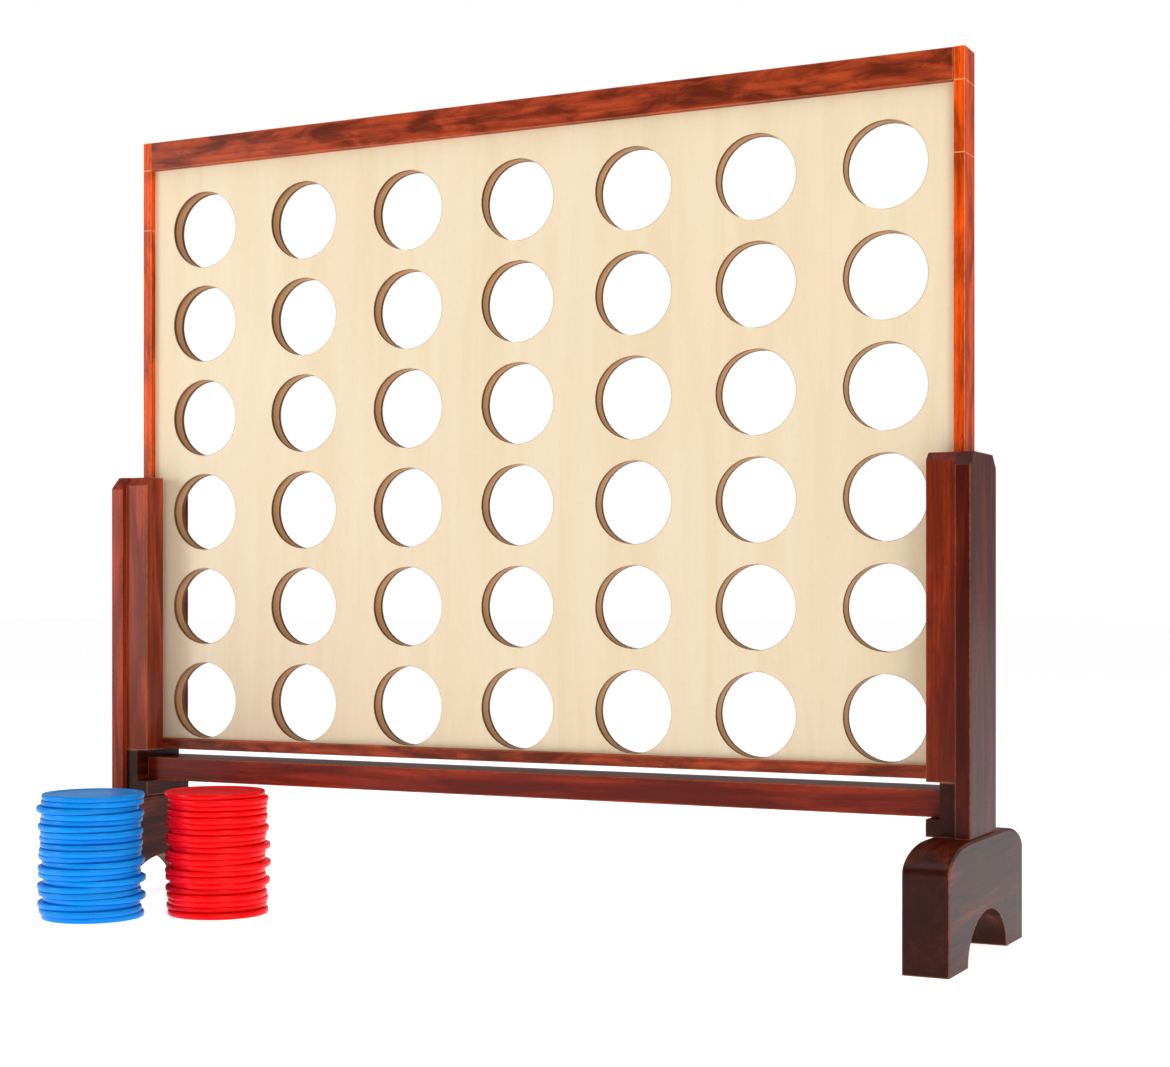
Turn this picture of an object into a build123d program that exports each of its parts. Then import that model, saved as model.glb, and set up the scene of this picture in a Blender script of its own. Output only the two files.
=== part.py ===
from build123d import *
import math
import os

os.makedirs("parts", exist_ok=True)

# Giant four in a row. Millimetres, +Z up, +X to the right, the players' side at -Y.
# The origin is on the ground, under the middle of the whole set.

# ------------------------------------------------------------------ driving dimensions
# Discs
disc_diameter = 126.0
disc_thickness = 7.2
disc_gap = 0.2               # air between two stacked discs
disc_rim_width = 9.0         # raised rim round the recessed middle
disc_recess = 1.1            # how far the middle lies below the rim
disc_rim_round = 2.6         # rounding of the outer edge
discs_per_colour = 21
loose_discs = 10             # discs at the top of each stack that lift one by one
stack_wobble = 3.2           # how untidily the discs are stacked

# Board
columns = 7
rows = 6
column_slack = 3.0           # disc_diameter to the width of its column
divider_width = 29.0
divider_drop = 14.0          # top of a divider below the top of the board
divider_point = 9.0          # chamfer that steers a disc into its column
hole_diameter = 101.0
panel_thickness = 5.0
disc_slot = 12.0             # inside width between the two panels
edge_strip_width = 17.5
stile_width = 13.5
stile_depth = 40.0
top_rail_height = 37.3
bottom_rail_height = 14.5
web_above_holes = 34.2       # plywood between the top rail and the top row of holes
web_below_holes = 1.0        # plywood between the bottom row and the bottom rail

# Stand
foot_thickness = 52.0
foot_height = 135.0
foot_depth = 304.0
foot_shoulder_length = 79.0  # elliptical shoulders at the top of a foot
foot_shoulder_drop = 28.0
foot_reveal = 5.0            # foot stands out past the post
foot_edge_round = 3.5
arch_half_width = 80.0
arch_height = 53.0
post_thickness = 18.0
post_length = 425.0
post_reveal = 8.0            # post stands out past the guides, front and rear
post_chamfer = 16.0
guide_width = 35.0
front_guide_depth = 35.0
rear_guide_depth = 14.0
guide_chamfer = 11.0
ledge_height = 19.5          # part of the block under the shelf
shelf_height = 30.5
shelf_depth = 68.0
shelf_drop = 10.5            # open gap between the shelf and the board
step_width = 19.0            # step that carries a stile, beside the shelf's end

# Fixings
dowel_diameter = 6.0
dowel_length = 22.0
post_dowel_depth = 9.0       # how far a dowel goes into the post
bolt_diameter = 8.0
bolt_head_height = 5.3
bolt_head_across_flats = 13.0
bolt_reach = 20.0            # how far a bolt goes into the block
bolt_spread = 60.0
bolt_seat = 60.0             # height of the shoulder that a foot bolt's washer bears on
washer_diameter = 17.0
washer_thickness = 1.6
insert_diameter = 12.0
shelf_screw_diameter = 5.0
shelf_screw_spread = 40.0
panel_screw_diameter = 3.5
panel_screw_length = 14.0
panel_screw_rows = 4
panel_screw_margin = 22.0    # from a rail's edge to the nearest screw

guide_dowel_shares = (0.12, 0.5, 0.86)          # heights up a guide
stile_dowel_offsets = (12.58, 9.07, 13.73, 10.22)   # each stile dowel above a screw of the rear panel
ledge_dowel_spread = 18.0    # between the two dowels in the block's ledge
dowel_bevel = 0.75
bolt_bevel = 0.8
screw_slot_depth = 1.0

# Clearances
board_clearance = 0.5        # board in the guides, each way
seat_gap = 0.3               # stile above the step it is carried by
shelf_clearance = 0.5        # shelf's end to the step
dowel_clearance = 0.05
bolt_clearance = 0.25
edge_round = 1.6             # eased edges of the planed timber

# Where the stacks stand
stack_from_foot = 14.23      # between the left foot's front inner corner and a straight blue stack
stack_turn = 50.04           # degrees, how far to the front of that corner the blue stack stands
stack_spacing = 29.7         # between the two stacks
stack_bearing = 39.2         # degrees, from the blue stack to the red one

# ------------------------------------------------------------------ worked-out places
disc_radius = disc_diameter / 2
disc_pitch = disc_thickness + disc_gap
hole_radius = hole_diameter / 2
column_width = disc_diameter + column_slack
column_pitch = column_width + divider_width
row_pitch = disc_diameter

# Across the width, from the middle outwards
columns_half = (columns - 1) / 2 * column_pitch + column_width / 2
panel_half = columns_half + edge_strip_width
stile_outer = panel_half + stile_width
post_inner = stile_outer + board_clearance
post_outer = post_inner + post_thickness
guide_inner = post_inner - guide_width
step_inner = post_inner - step_width
shelf_half = step_inner - shelf_clearance
foot_outer = post_outer + foot_reveal
foot_inner = foot_outer - foot_thickness

# Upwards from the ground
block_height = ledge_height + shelf_height + shelf_drop
block_top = foot_height + block_height
ledge_top = foot_height + ledge_height
shelf_top = ledge_top + shelf_height
post_top = foot_height + post_length
board_bottom = block_top + seat_gap
bottom_row_z = board_bottom + bottom_rail_height + web_below_holes + hole_radius
top_row_z = bottom_row_z + (rows - 1) * row_pitch
board_top = top_row_z + hole_radius + web_above_holes + top_rail_height
board_height = board_top - board_bottom

# Front to rear
channel_depth = stile_depth + 2 * board_clearance
leg_half_depth = (front_guide_depth + channel_depth + rear_guide_depth) / 2
post_half_depth = leg_half_depth + post_reveal


def wobble(number, phase):
    """Sideways offset of one disc in a stack: two sine waves that never line up."""
    along_x = stack_wobble * math.sin(2.3 * number + phase)
    along_y = stack_wobble * math.cos(1.9 * number + 2 * phase)
    return along_x, along_y


blue_phase = 0.4
red_phase = 1.9
blue_front = max(disc_radius - wobble(n, blue_phase)[1] for n in range(discs_per_colour))
stack_reach = disc_radius + stack_from_foot
stack_forward = foot_depth / 2 + stack_reach * math.sin(math.radians(stack_turn))
stand_y = (stack_forward + blue_front - foot_depth / 2) / 2
blue_x = stack_reach * math.cos(math.radians(stack_turn)) - foot_inner
blue_y = stand_y - stack_forward
stack_distance = disc_diameter + stack_spacing
red_x = blue_x + stack_distance * math.cos(math.radians(stack_bearing))
red_y = blue_y + stack_distance * math.sin(math.radians(stack_bearing))

leg_front = stand_y - leg_half_depth
leg_rear = stand_y + leg_half_depth
channel_front = leg_front + front_guide_depth
channel_rear = leg_rear - rear_guide_depth
stile_front = channel_front + board_clearance
stile_rear = channel_rear - board_clearance
board_y = (stile_front + stile_rear) / 2
slot_front = board_y - disc_slot / 2
slot_rear = board_y + disc_slot / 2
panel_front = slot_front - panel_thickness
panel_rear = slot_rear + panel_thickness
shelf_front = leg_rear - shelf_depth


def facing_front(y):
    """Upright plane at depth y, with X to the right and Z up; minus amounts go to the rear."""
    return Plane.XZ.offset(-y)


def facing_rear(y):
    """Upright plane at depth y that looks to the rear, with -X to the right and Z up."""
    return Plane(origin=(0, y, 0), x_dir=(-1, 0, 0), z_dir=(0, 1, 0))


bolt_x = (foot_inner + post_inner) / 2
screw_top = (Align.CENTER, Align.CENTER, Align.MAX)

# ------------------------------------------------------------------ right foot
with BuildPart() as right_foot:
    with BuildSketch(Plane.YZ.offset(foot_inner)):
        with BuildLine():
            shoulder_z = foot_height - foot_shoulder_drop
            front_y = stand_y - foot_depth / 2
            rear_y = stand_y + foot_depth / 2
            front_top = (front_y + foot_shoulder_length, foot_height)
            rear_top = (rear_y - foot_shoulder_length, foot_height)
            Line((front_y, 0), (front_y, shoulder_z))
            EllipticalCenterArc((front_top[0], shoulder_z), foot_shoulder_length, foot_shoulder_drop, 90)
            Line(front_top, rear_top)
            EllipticalCenterArc((rear_top[0], shoulder_z), foot_shoulder_length, foot_shoulder_drop, 0)
            Line((rear_y, shoulder_z), (rear_y, 0))
            Line((rear_y, 0), (front_y, 0))
        make_face()
        with Locations((stand_y, 0)):
            Ellipse(arch_half_width, arch_height, mode=Mode.SUBTRACT)
    extrude(amount=foot_thickness)
    outlines = right_foot.faces().filter_by(Axis.X)
    upper_edges = outlines.edges().filter_by(lambda edge: edge.center().Z > arch_height)
    fillet(upper_edges, foot_edge_round)
    with BuildSketch(Plane.XY):
        with Locations((bolt_x, stand_y)):
            with GridLocations(0, bolt_spread, 1, 2):
                Circle(washer_diameter / 2 + bolt_clearance)
    extrude(amount=bolt_seat, mode=Mode.SUBTRACT)
    with BuildSketch(Plane.XY):
        with Locations((bolt_x, stand_y)):
            with GridLocations(0, bolt_spread, 1, 2):
                Circle(bolt_diameter / 2 + bolt_clearance)
    extrude(amount=foot_height, mode=Mode.SUBTRACT)

# ------------------------------------------------------------------ places of the leg's dowels
guide_height = post_top - block_top
guide_dowel_heights = [block_top + guide_height * share for share in guide_dowel_shares]
step_dowel_z = (ledge_top + block_top) / 2
ledge_dowel_z = (foot_height + ledge_top) / 2
front_guide_y = (leg_front + channel_front) / 2
rear_guide_y = (channel_rear + leg_rear) / 2
front_guide_dowels = [(front_guide_y, z) for z in guide_dowel_heights]
rear_guide_dowels = [(rear_guide_y, z) for z in guide_dowel_heights]
step_dowels = [(y, step_dowel_z) for y in (front_guide_y, stand_y, rear_guide_y)]
ledge_dowels = [(stand_y + side * ledge_dowel_spread / 2, ledge_dowel_z) for side in (-1, 1)]
block_dowels = step_dowels + ledge_dowels
leg_dowels = front_guide_dowels + rear_guide_dowels + block_dowels
dowel_start = post_inner + post_dowel_depth - dowel_length
dowel_hole_radius = dowel_diameter / 2 + dowel_clearance

# ------------------------------------------------------------------ right post
with BuildPart() as right_post:
    with BuildSketch(Plane.YZ.offset(post_inner)) as post_outline:
        with Locations((stand_y, foot_height + post_length / 2)):
            Rectangle(2 * post_half_depth, post_length)
        chamfer(post_outline.vertices().group_by(Axis.Y)[-1], post_chamfer)
    extrude(amount=post_thickness)
    fillet(right_post.edges().filter_by(Axis.Z), edge_round)
    with BuildSketch(Plane.YZ.offset(post_inner)):
        with Locations(*leg_dowels):
            Circle(dowel_hole_radius)
    extrude(amount=post_dowel_depth + dowel_clearance, mode=Mode.SUBTRACT)

# ------------------------------------------------------------------ right front guide
with BuildPart() as right_front_guide:
    with BuildSketch(Plane.XY.offset(block_top)):
        with Locations(((guide_inner + post_inner) / 2, front_guide_y)):
            Rectangle(guide_width, front_guide_depth)
    extrude(amount=guide_height)
    chamfer(right_front_guide.faces().sort_by(Axis.Z)[-1].edges().sort_by(Axis.Y)[0], guide_chamfer)
    inner_face = right_front_guide.faces().sort_by(Axis.X)[0]
    fillet(inner_face.edges().filter_by(Axis.Z), edge_round)
    with BuildSketch(Plane.YZ.offset(dowel_start - dowel_clearance)):
        with Locations(*front_guide_dowels):
            Circle(dowel_hole_radius)
    extrude(amount=dowel_length, mode=Mode.SUBTRACT)

# ------------------------------------------------------------------ right rear guide
with BuildPart() as right_rear_guide:
    with BuildSketch(Plane.XY.offset(block_top)):
        with Locations(((guide_inner + post_inner) / 2, rear_guide_y)):
            Rectangle(guide_width, rear_guide_depth)
    extrude(amount=guide_height)
    inner_face = right_rear_guide.faces().sort_by(Axis.X)[0]
    fillet(inner_face.edges().filter_by(Axis.Z), edge_round)
    with BuildSketch(Plane.YZ.offset(dowel_start - dowel_clearance)):
        with Locations(*rear_guide_dowels):
            Circle(dowel_hole_radius)
    extrude(amount=dowel_length, mode=Mode.SUBTRACT)

# ------------------------------------------------------------------ right block
# The block carries the shelf on its ledge and a stile on its step.
shelf_screw_x = (guide_inner + step_inner) / 2
shelf_screw_y = (shelf_front + leg_rear) / 2
shelf_screw_tip = foot_height + ledge_height / 3
with BuildPart() as right_block:
    with BuildSketch(facing_front(leg_front)):
        with BuildLine():
            Polyline(
                (guide_inner, foot_height),
                (post_inner, foot_height),
                (post_inner, block_top),
                (step_inner, block_top),
                (step_inner, ledge_top),
                (guide_inner, ledge_top),
                close=True,
            )
        make_face()
    extrude(amount=-2 * leg_half_depth)
    with BuildSketch(Plane.YZ.offset(dowel_start - dowel_clearance)):
        with Locations(*block_dowels):
            Circle(dowel_hole_radius)
    extrude(amount=dowel_length, mode=Mode.SUBTRACT)
    with BuildSketch(Plane.XY.offset(foot_height)):
        with Locations((bolt_x, stand_y)):
            with GridLocations(0, bolt_spread, 1, 2):
                Circle(insert_diameter / 2 + dowel_clearance)
    extrude(amount=bolt_reach, mode=Mode.SUBTRACT)
    with BuildSketch(Plane.XY.offset(ledge_top)):
        with Locations((shelf_screw_x, shelf_screw_y)):
            with GridLocations(0, shelf_screw_spread, 1, 2):
                Circle(shelf_screw_diameter / 2 + dowel_clearance)
    extrude(amount=shelf_screw_tip - ledge_top, mode=Mode.SUBTRACT)

# ------------------------------------------------------------------ right leg's fixings
with BuildPart() as right_leg_dowels:
    with BuildSketch(Plane.YZ.offset(dowel_start)):
        with Locations(*leg_dowels):
            Circle(dowel_diameter / 2)
    extrude(amount=dowel_length)
    chamfer(right_leg_dowels.edges().filter_by(GeomType.CIRCLE), dowel_bevel)

bolt_head_top = bolt_seat - washer_thickness
bolt_tip = foot_height + bolt_reach - 2 * washer_thickness
with BuildPart() as right_foot_bolts:
    with BuildSketch(Plane.XY.offset(bolt_head_top - bolt_head_height)):
        with Locations((bolt_x, stand_y)):
            with GridLocations(0, bolt_spread, 1, 2):
                RegularPolygon(bolt_head_across_flats / 2, 6, major_radius=False)
    extrude(amount=bolt_head_height)
    with BuildSketch(Plane.XY.offset(bolt_head_top)):
        with Locations((bolt_x, stand_y)):
            with GridLocations(0, bolt_spread, 1, 2):
                Circle(bolt_diameter / 2)
    extrude(amount=bolt_tip - bolt_head_top)
    chamfer(right_foot_bolts.edges().filter_by(GeomType.CIRCLE).group_by(Axis.Z)[-1], bolt_bevel)

with BuildPart() as right_foot_washers:
    with BuildSketch(Plane.XY.offset(bolt_head_top)):
        with Locations((bolt_x, stand_y)):
            with GridLocations(0, bolt_spread, 1, 2):
                Circle(washer_diameter / 2)
                Circle(bolt_diameter / 2 + bolt_clearance, mode=Mode.SUBTRACT)
    extrude(amount=washer_thickness)

with BuildPart() as right_foot_inserts:
    with BuildSketch(Plane.XY.offset(foot_height)):
        with Locations((bolt_x, stand_y)):
            with GridLocations(0, bolt_spread, 1, 2):
                Circle(insert_diameter / 2)
                Circle(bolt_diameter / 2 + dowel_clearance, mode=Mode.SUBTRACT)
    extrude(amount=bolt_reach - washer_thickness)

# ------------------------------------------------------------------ shelf between the legs
shelf_head_height = shelf_screw_diameter / 2
with BuildPart() as shelf:
    with BuildSketch(Plane.XY.offset(ledge_top)):
        with Locations((0, (shelf_front + leg_rear) / 2)):
            Rectangle(2 * shelf_half, shelf_depth)
    extrude(amount=shelf_height)
    fillet(shelf.edges().filter_by(Axis.X), edge_round)
    with Locations((0, shelf_screw_y, shelf_top)):
        with GridLocations(2 * shelf_screw_x, shelf_screw_spread, 2, 2):
            CounterSinkHole(shelf_screw_diameter / 2 + dowel_clearance, shelf_screw_diameter, shelf_height)

with BuildPart() as shelf_screws:
    with Locations((0, shelf_screw_y, shelf_top)):
        with GridLocations(2 * shelf_screw_x, shelf_screw_spread, 2, 2):
            Cone(shelf_screw_diameter / 2, shelf_screw_diameter, shelf_head_height, align=screw_top)
            Cylinder(shelf_screw_diameter / 2, shelf_top - shelf_screw_tip - dowel_clearance, align=screw_top)
            Box(shelf_screw_diameter, shelf_screw_diameter / 5, screw_slot_depth, align=screw_top, mode=Mode.SUBTRACT)
            Box(shelf_screw_diameter / 5, shelf_screw_diameter, screw_slot_depth, align=screw_top, mode=Mode.SUBTRACT)

# ------------------------------------------------------------------ the left leg mirrors the right one
left_twins = {}
for right_name, right_piece in (
    ("foot", right_foot),
    ("post", right_post),
    ("front_guide", right_front_guide),
    ("rear_guide", right_rear_guide),
    ("block", right_block),
    ("leg_dowels", right_leg_dowels),
    ("foot_bolts", right_foot_bolts),
    ("foot_washers", right_foot_washers),
    ("foot_inserts", right_foot_inserts),
):
    with BuildPart() as left_piece:
        mirror(right_piece.part, about=Plane.YZ)
    left_twins["right_" + right_name] = right_piece
    left_twins["left_" + right_name] = left_piece

# ------------------------------------------------------------------ board: the two panels
holes_middle_z = (bottom_row_z + top_row_z) / 2
with BuildPart() as front_panel:
    with BuildSketch(facing_front(panel_front)):
        with Locations((0, (board_bottom + board_top) / 2)):
            Rectangle(2 * panel_half, board_height)
        with Locations((0, holes_middle_z)):
            with GridLocations(column_pitch, row_pitch, columns, rows):
                Circle(hole_radius, mode=Mode.SUBTRACT)
    extrude(amount=-panel_thickness)

divider_middles = [(number - (columns - 2) / 2) * column_pitch for number in range(columns - 1)]
edge_strip_middle = (columns_half + panel_half) / 2
screwed_uprights = [-edge_strip_middle] + divider_middles + [edge_strip_middle]
lowest_screw = board_bottom + bottom_rail_height + panel_screw_margin
highest_screw = board_top - top_rail_height - panel_screw_margin
screw_step = (highest_screw - lowest_screw) / (panel_screw_rows - 1)
screw_heights = [lowest_screw + number * screw_step for number in range(panel_screw_rows)]
panel_screw_points = [(x, z) for x in screwed_uprights for z in screw_heights]
panel_screw_hole = panel_screw_diameter / 2 + dowel_clearance

with BuildPart() as rear_panel:
    with BuildSketch(facing_front(slot_rear)):
        with Locations((0, (board_bottom + board_top) / 2)):
            Rectangle(2 * panel_half, board_height)
        with Locations((0, holes_middle_z)):
            with GridLocations(column_pitch, row_pitch, columns, rows):
                Circle(hole_radius, mode=Mode.SUBTRACT)
    extrude(amount=-panel_thickness)
    with Locations(facing_rear(panel_rear)):
        with Locations(*panel_screw_points):
            CounterSinkHole(panel_screw_hole, panel_screw_diameter, panel_thickness)

# ------------------------------------------------------------------ board: dividers and edge strips
stile_dowel_heights = [z + offset for z, offset in zip(screw_heights, stile_dowel_offsets)]
stile_dowel_depth = stile_width * 0.6
stile_dowel_start = panel_half + stile_dowel_depth - dowel_length
uprights = {}
upright_plans = [("divider_%d" % (n + 1), x, divider_width) for n, x in enumerate(divider_middles)]
upright_plans.append(("left_edge_strip", -edge_strip_middle, edge_strip_width))
upright_plans.append(("right_edge_strip", edge_strip_middle, edge_strip_width))
for upright_name, middle, width in upright_plans:
    with BuildPart() as upright:
        upright_height = board_height - divider_drop
        with BuildSketch(facing_front(slot_front)) as upright_outline:
            with Locations((middle, board_bottom + upright_height / 2)):
                Rectangle(width, upright_height)
            if width == divider_width:
                chamfer(upright_outline.vertices().group_by(Axis.Y)[-1], divider_point)
        extrude(amount=-disc_slot)
        with BuildSketch(facing_rear(slot_rear)):
            with Locations(*[(-middle, z) for z in screw_heights]):
                Circle(panel_screw_hole)
        extrude(amount=panel_thickness - panel_screw_length, mode=Mode.SUBTRACT)
        if width == edge_strip_width:
            with BuildSketch(Plane.YZ.offset(math.copysign(panel_half, middle))):
                with Locations(*[(board_y, z) for z in stile_dowel_heights]):
                    Circle(dowel_hole_radius)
            strip_hole_depth = dowel_length - stile_dowel_depth + dowel_clearance
            extrude(amount=-math.copysign(strip_hole_depth, middle), mode=Mode.SUBTRACT)
    uprights[upright_name] = upright

# ------------------------------------------------------------------ board: stiles and their dowels
with BuildPart() as right_stile:
    with BuildSketch(Plane.XY.offset(board_bottom)):
        with Locations(((panel_half + stile_outer) / 2, board_y)):
            Rectangle(stile_width, stile_depth)
    extrude(amount=board_height)
    fillet(right_stile.edges().filter_by(Axis.Z), edge_round)
    with BuildSketch(Plane.YZ.offset(panel_half)):
        with Locations(*[(board_y, z) for z in stile_dowel_heights]):
            Circle(dowel_hole_radius)
    extrude(amount=stile_dowel_depth + dowel_clearance, mode=Mode.SUBTRACT)

with BuildPart() as left_stile:
    mirror(right_stile.part, about=Plane.YZ)

with BuildPart() as stile_dowels:
    with BuildSketch(Plane.YZ.offset(stile_dowel_start)):
        with Locations(*[(board_y, z) for z in stile_dowel_heights]):
            Circle(dowel_diameter / 2)
    extrude(amount=dowel_length)
    chamfer(stile_dowels.edges().filter_by(GeomType.CIRCLE), dowel_bevel)
    mirror(about=Plane.YZ)

# ------------------------------------------------------------------ board: rails on both faces
rails = {}
for rail_name, rail_y, rail_bottom, rail_height, outwards in (
    ("front_top_rail", panel_front, board_top - top_rail_height, top_rail_height, stile_front),
    ("front_bottom_rail", panel_front, board_bottom, bottom_rail_height, stile_front),
    ("rear_top_rail", panel_rear, board_top - top_rail_height, top_rail_height, stile_rear),
    ("rear_bottom_rail", panel_rear, board_bottom, bottom_rail_height, stile_rear),
):
    with BuildPart() as rail:
        with BuildSketch(facing_front(rail_y)):
            with Locations((0, rail_bottom + rail_height / 2)):
                Rectangle(2 * panel_half, rail_height)
        extrude(amount=rail_y - outwards)
        outer_edges = rail.edges().filter_by(Axis.X).filter_by(lambda edge: abs(edge.center().Y - outwards) < 0.01)
        fillet(outer_edges, edge_round)
    rails[rail_name] = rail

# ------------------------------------------------------------------ board: screws in the rear panel
with BuildPart() as panel_screws:
    with Locations(facing_rear(panel_rear)):
        with Locations(*panel_screw_points):
            Cone(panel_screw_diameter / 2, panel_screw_diameter, panel_screw_diameter / 2, align=screw_top)
            Cylinder(panel_screw_diameter / 2, panel_screw_length - dowel_clearance, align=screw_top)
            Box(panel_screw_diameter, panel_screw_diameter / 5, screw_slot_depth, align=screw_top, mode=Mode.SUBTRACT)
            Box(panel_screw_diameter / 5, panel_screw_diameter, screw_slot_depth, align=screw_top, mode=Mode.SUBTRACT)

# ------------------------------------------------------------------ discs
# One disc, lying flat on the ground: a round-edged rim and a recessed middle on both faces.
with BuildPart() as plain_disc:
    with BuildSketch(Plane.XZ):
        with BuildLine():
            side = disc_radius
            thick = disc_thickness
            rim = disc_radius - disc_rim_width
            Polyline(
                (0, disc_recess),
                (rim - disc_recess, disc_recess),
                (rim, 0),
                (side - disc_rim_round, 0),
            )
            CenterArc((side - disc_rim_round, disc_rim_round), disc_rim_round, 270, 90)
            Line((side, disc_rim_round), (side, thick - disc_rim_round))
            CenterArc((side - disc_rim_round, thick - disc_rim_round), disc_rim_round, 0, 90)
            Polyline(
                (side - disc_rim_round, thick),
                (rim, thick),
                (rim - disc_recess, thick - disc_recess),
                (0, thick - disc_recess),
                (0, disc_recess),
            )
        make_face()
    revolve(axis=Axis.Z)

discs = {}
lower_discs = discs_per_colour - loose_discs
for colour, stack_x, stack_y, phase in (("blue", blue_x, blue_y, blue_phase), ("red", red_x, red_y, red_phase)):
    places = []
    for number in range(discs_per_colour):
        along_x, along_y = wobble(number, phase)
        places.append((stack_x + along_x, stack_y + along_y, number * disc_pitch))
    with BuildPart() as lower_stack:
        with Locations(*places[:lower_discs]):
            add(plain_disc.part)
    discs[colour + "_lower_discs"] = lower_stack
    for number in range(lower_discs, discs_per_colour):
        with BuildPart() as disc:
            with Locations(places[number]):
                add(plain_disc.part)
        discs["%s_disc_%02d" % (colour, number + 1)] = disc

# ------------------------------------------------------------------ labels and files
board = {
    "front_panel": front_panel,
    "rear_panel": rear_panel,
    "left_stile": left_stile,
    "right_stile": right_stile,
    "stile_dowels": stile_dowels,
    "panel_screws": panel_screws,
}
stand = {"shelf": shelf, "shelf_screws": shelf_screws}
for group in (left_twins, stand, board, uprights, rails, discs):
    for name, piece in group.items():
        piece.part.label = name
        export_step(piece.part, "parts/%s.step" % name)
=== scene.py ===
import math

import bpy
import numpy as np
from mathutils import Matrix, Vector


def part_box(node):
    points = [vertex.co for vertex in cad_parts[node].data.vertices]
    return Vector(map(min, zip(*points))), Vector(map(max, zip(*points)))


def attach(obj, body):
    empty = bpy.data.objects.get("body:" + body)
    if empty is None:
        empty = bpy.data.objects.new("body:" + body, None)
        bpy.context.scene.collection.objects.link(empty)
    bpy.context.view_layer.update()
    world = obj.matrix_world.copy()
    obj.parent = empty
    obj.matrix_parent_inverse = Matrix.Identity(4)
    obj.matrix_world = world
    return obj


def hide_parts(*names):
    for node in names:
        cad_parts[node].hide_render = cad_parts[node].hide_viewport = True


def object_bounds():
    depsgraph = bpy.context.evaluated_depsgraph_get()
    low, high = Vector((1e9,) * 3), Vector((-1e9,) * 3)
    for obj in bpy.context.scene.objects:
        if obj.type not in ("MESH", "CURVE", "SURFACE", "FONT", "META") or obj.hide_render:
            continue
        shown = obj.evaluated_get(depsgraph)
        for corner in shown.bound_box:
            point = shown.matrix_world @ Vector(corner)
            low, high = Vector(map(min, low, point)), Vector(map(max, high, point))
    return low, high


bl_info = {
    "name": "Giant Four in a Row",
    "version": (1, 0, 0),
    "blender": (4, 5, 0),
    "location": "3D View > Sidebar > Garden Games",
    "description": "Stained pine, lacquered plywood and moulded discs for a standing four-in-a-row game",
    "category": "Object",
}

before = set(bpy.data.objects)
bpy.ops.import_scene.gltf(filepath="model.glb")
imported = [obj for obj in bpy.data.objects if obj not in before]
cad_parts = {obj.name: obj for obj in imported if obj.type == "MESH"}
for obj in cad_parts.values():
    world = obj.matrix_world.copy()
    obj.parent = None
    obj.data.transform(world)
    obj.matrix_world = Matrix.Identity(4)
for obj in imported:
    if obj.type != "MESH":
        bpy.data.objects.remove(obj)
cad_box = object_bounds()

# ------------------------------------------------------------------ the game's own measures, in metres
COLUMNS = 7
ROWS = 6
DISC_PITCH = 0.0074          # height that one disc takes in a stack
DISC_WOBBLE = 0.0032         # how untidily the discs are stacked
LOWER_DISCS = 11             # discs in each lower_discs node
DISCS_PER_COLOUR = 21
WOBBLE_PHASE = {"blue": 0.4, "red": 1.9}
WOBBLE_TURNS = (2.3, 1.9)    # radians that each wave advances from one disc to the next
SEAM_SHARE = 0.486           # a disc's mid height, as a share of the pitch
HUB_RADIUS = 0.004           # of the innermost ring of vertices on a disc
DISH_RINGS = 22              # rings of vertices on each part of a disc's section, both ends counted
STEP_RINGS = 6
CROWN_RINGS = 4
EDGE_RINGS = 11
STEP_LENGTH = 1.3            # of the step up to the rim, in depths of the dish
HOLE_RADIUS = 0.0505
ROW_PITCH = 0.126
COLUMN_PITCH = 0.158
TOP_HOLE_DROP = 0.122        # from a panel's top to the middle of the top row of holes
SHOULDER_LENGTH = 0.079      # elliptical shoulders at the top of a foot
SHOULDER_DROP = 0.028
ARCH_HALF_WIDTH = 0.080
ARCH_HEIGHT = 0.053
STILE_JOINT_SPACING = 0.081  # between the two finger joints of a stile

# ------------------------------------------------------------------ stage
FLOOR_REACH = 30             # metres from the middle to each side
FLOOR_DROP = 0.0002          # metres that keep the floor clear of the feet
SENSOR_WIDTH = 36            # millimetres
SURROUNDINGS_START = -0.4    # Y of the directions between which the light rises; 1 points to the rear
SURROUNDINGS_END = 0.5
FRONT_LIGHT = 0.12           # strength of the light from in front of the game
REAR_LIGHT = 0.38            # strength of the light from behind it
SOFTBOXES = {                # place, then width and height, in metres
    "left": ((-2.9, -2.7, 0.95), (1.3, 1.7)),
    "right": ((2.9, -2.2, 2.1), (1.4, 2.0)),
    "top": ((-0.2, -0.4, 3.2), (2.6, 2.6)),
}


def paint(red, green, blue):
    """Linear colour of a swatch whose display values run from 0 to 255."""
    shares = np.array([red, green, blue]) / 255
    linear = np.where(shares <= 0.04045, shares / 12.92, ((shares + 0.055) / 1.055) ** 2.4)
    return tuple(float(value) for value in linear)


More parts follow.
